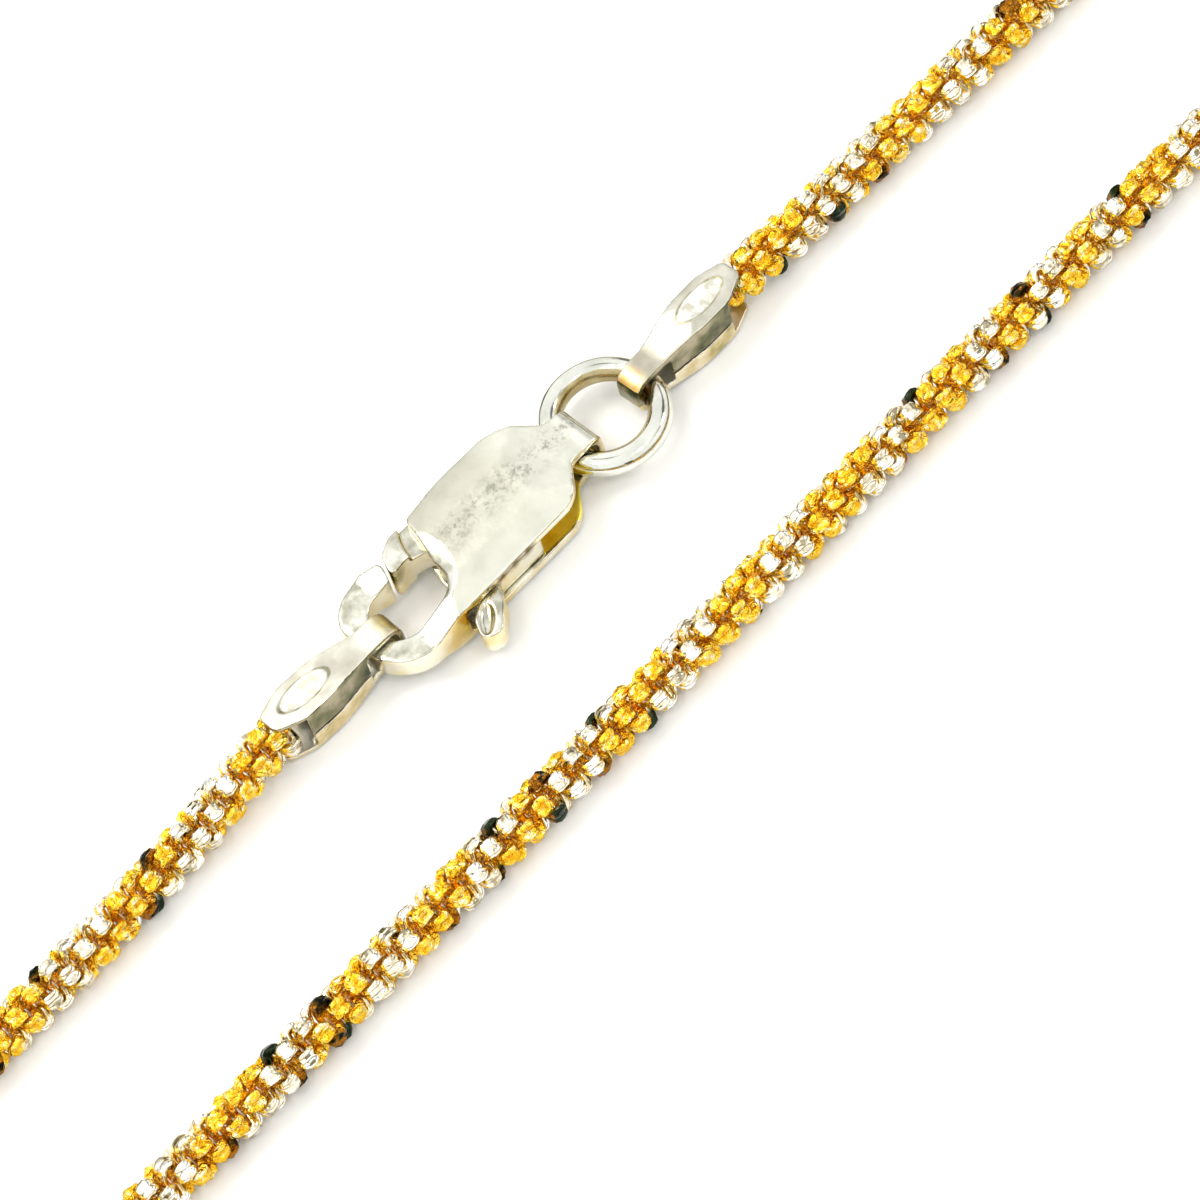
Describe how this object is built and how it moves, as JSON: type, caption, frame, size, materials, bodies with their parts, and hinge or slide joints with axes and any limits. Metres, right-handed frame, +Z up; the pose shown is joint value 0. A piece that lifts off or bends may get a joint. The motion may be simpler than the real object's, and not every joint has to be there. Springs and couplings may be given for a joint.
{
  "type": "chain necklace",
  "caption": "Closed necklace of fine twisted two-tone chain, with folded end caps, a jump ring and a lobster clasp whose sprung lever opens its hook.",
  "frame": {"origin": "middle of the necklace's outline, on the surface it lies on", "axes": "+X along the necklace from the clasp's hook towards the jump ring, +Y from the plain strand towards the strand with the clasp, +Z up from the surface"},
  "size_m": [0.1982, 0.0418, 0.0025],
  "materials": {
    "chain": "polished, gold-plated links between silver ones",
    "silver": "polished to satin silver"
  },
  "bodies": {
    "necklace": {"chain_left": "chain", "chain_right": "chain", "end_cap_left": "silver", "end_cap_right": "silver", "jump_ring": "silver", "clasp_body": "silver", "clasp_pin": "silver"},
    "lever": {"clasp_lever": "silver"}
  },
  "joints": [
    {"name": "lever_hinge", "type": "hinge", "parent": "necklace", "child": "lever", "pos_m": [-0.0009, 0.00568, 0.0012], "axis": [0, 0, 1], "range_deg": [0, 25], "stiffness_Nm_per_rad": 0.004, "springref_deg": -20.05}
  ]
}
